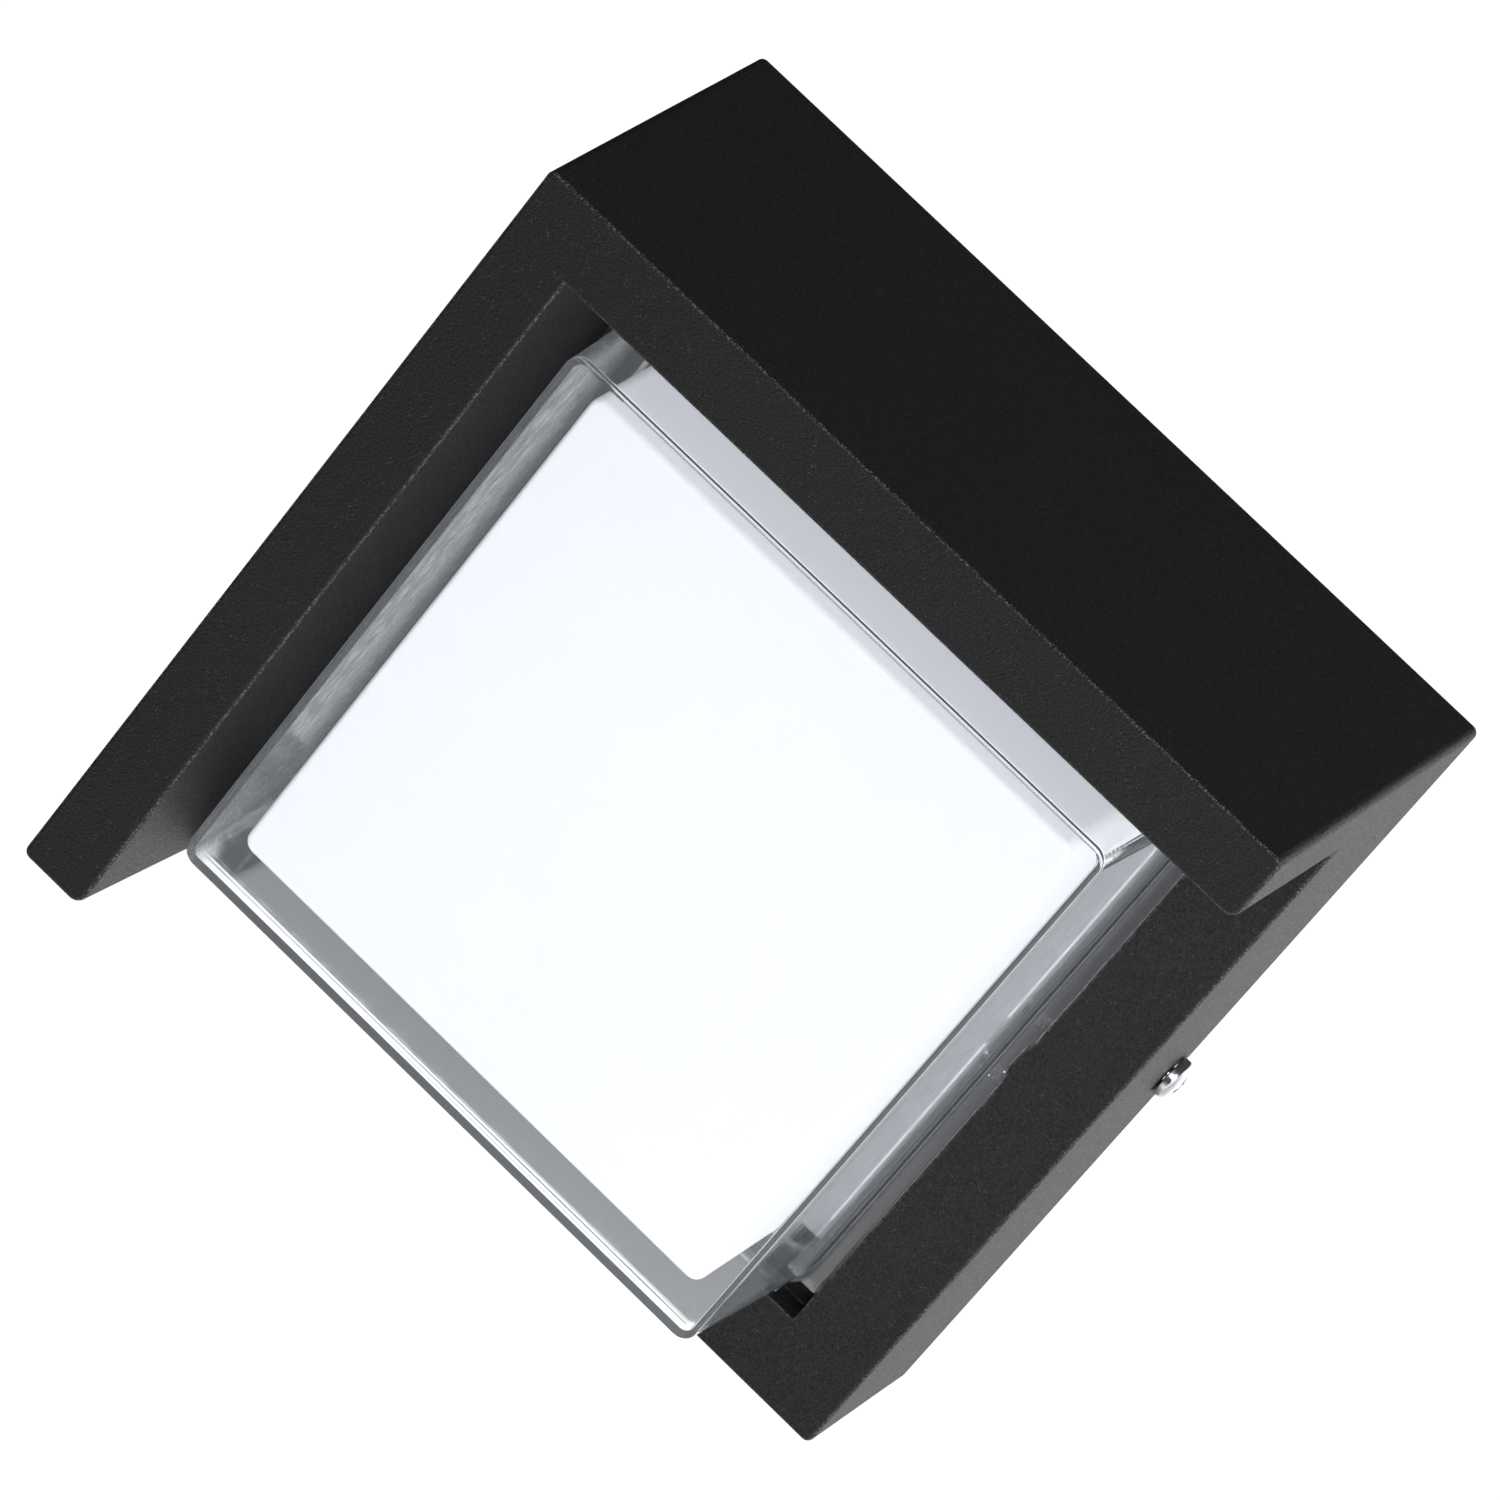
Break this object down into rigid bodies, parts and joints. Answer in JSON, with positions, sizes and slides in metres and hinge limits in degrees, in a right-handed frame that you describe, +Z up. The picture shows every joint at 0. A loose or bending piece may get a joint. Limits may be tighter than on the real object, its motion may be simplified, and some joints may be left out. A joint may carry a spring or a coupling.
{
  "type": "outdoor wall lantern",
  "caption": "Square die-cast outdoor wall lantern hung corner up, with a two-armed hood over a clear cover and an opal diffuser, on a wall bracket with side locking screws.",
  "frame": {"origin": "centre of the lamp's square outline on the wall plane, midway between the bracket's two wall screws", "axes": "+Y into the wall, so the lamp projects along -Y; +Z up to the hood's corner; +X to the viewer's right"},
  "size_m": [0.2392, 0.085, 0.2392],
  "materials": {
    "powder_coat": "fine-textured matt black powder coat on die-cast aluminium",
    "clear_plastic": "clear polycarbonate, polished",
    "opal_plastic": "opal white polycarbonate, satin",
    "black_rubber": "black silicone rubber, matt",
    "white_silicone": "white silicone rubber, satin",
    "zinc_steel": "zinc-plated steel",
    "board_white": "white-masked aluminium circuit board",
    "led_yellow": "phosphor-filled resin",
    "grey_pad": "soft grey thermal pad",
    "driver_plastic": "white flame-retardant plastic",
    "board_green": "green solder mask",
    "driver_core": "ferrite and sleeved aluminium",
    "terminal_plastic": "cream nylon",
    "brass_screw": "plain brass",
    "lead_brown": "brown insulation",
    "lead_blue": "blue insulation",
    "lead_green": "green and yellow insulation",
    "lead_red": "red insulation",
    "lead_black": "black insulation",
    "plate_steel": "black painted sheet steel",
    "bracket_steel": "zinc-plated sheet steel",
    "chrome_screw": "bright nickel-plated steel"
  },
  "bodies": {
    "mount": {"wall_bracket": "bracket_steel", "bracket_earth_screw": "brass_screw"},
    "screw_right": {"side_screw_right": "chrome_screw"},
    "screw_left": {"side_screw_left": "chrome_screw"},
    "lamp": {"board_screws": "zinc_steel", "cable_grommet": "black_rubber", "clear_cover": "clear_plastic", "cover_gasket": "white_silicone", "diffuser_screws": "zinc_steel", "driver_board": "board_green", "driver_capacitor": "driver_core", "driver_case": "driver_plastic", "driver_lid": "driver_plastic", "driver_screws": "zinc_steel", "driver_transformer": "driver_core", "earth_lug": "brass_screw", "earth_screw": "brass_screw", "housing": "powder_coat", "lead_earth": "lead_green", "lead_grommet": "black_rubber", "lead_live": "lead_brown", "lead_neutral": "lead_blue", "led_board": "board_white", "led_chips": "led_yellow", "led_lead_negative": "lead_black", "led_lead_positive": "lead_red", "opal_diffuser": "opal_plastic", "rear_gasket": "black_rubber", "rear_plate": "plate_steel", "rear_plate_screws": "zinc_steel", "terminal_block": "terminal_plastic", "terminal_screws": "zinc_steel", "thermal_pad": "grey_pad"}
  },
  "joints": [
    {"name": "lamp_pull_off", "type": "slide", "parent": "mount", "child": "lamp", "axis": [0, -1, 0], "range_m": [0, 0.06]},
    {"name": "right_screw_turn", "type": "hinge", "parent": "mount", "child": "screw_right", "pos_m": [0.05515, -0.0057, -0.05515], "axis": [0.7071, 0, -0.7071], "continuous": true},
    {"name": "left_screw_turn", "type": "hinge", "parent": "mount", "child": "screw_left", "pos_m": [-0.05515, -0.0057, 0.05515], "axis": [-0.7071, 0, 0.7071], "continuous": true}
  ]
}
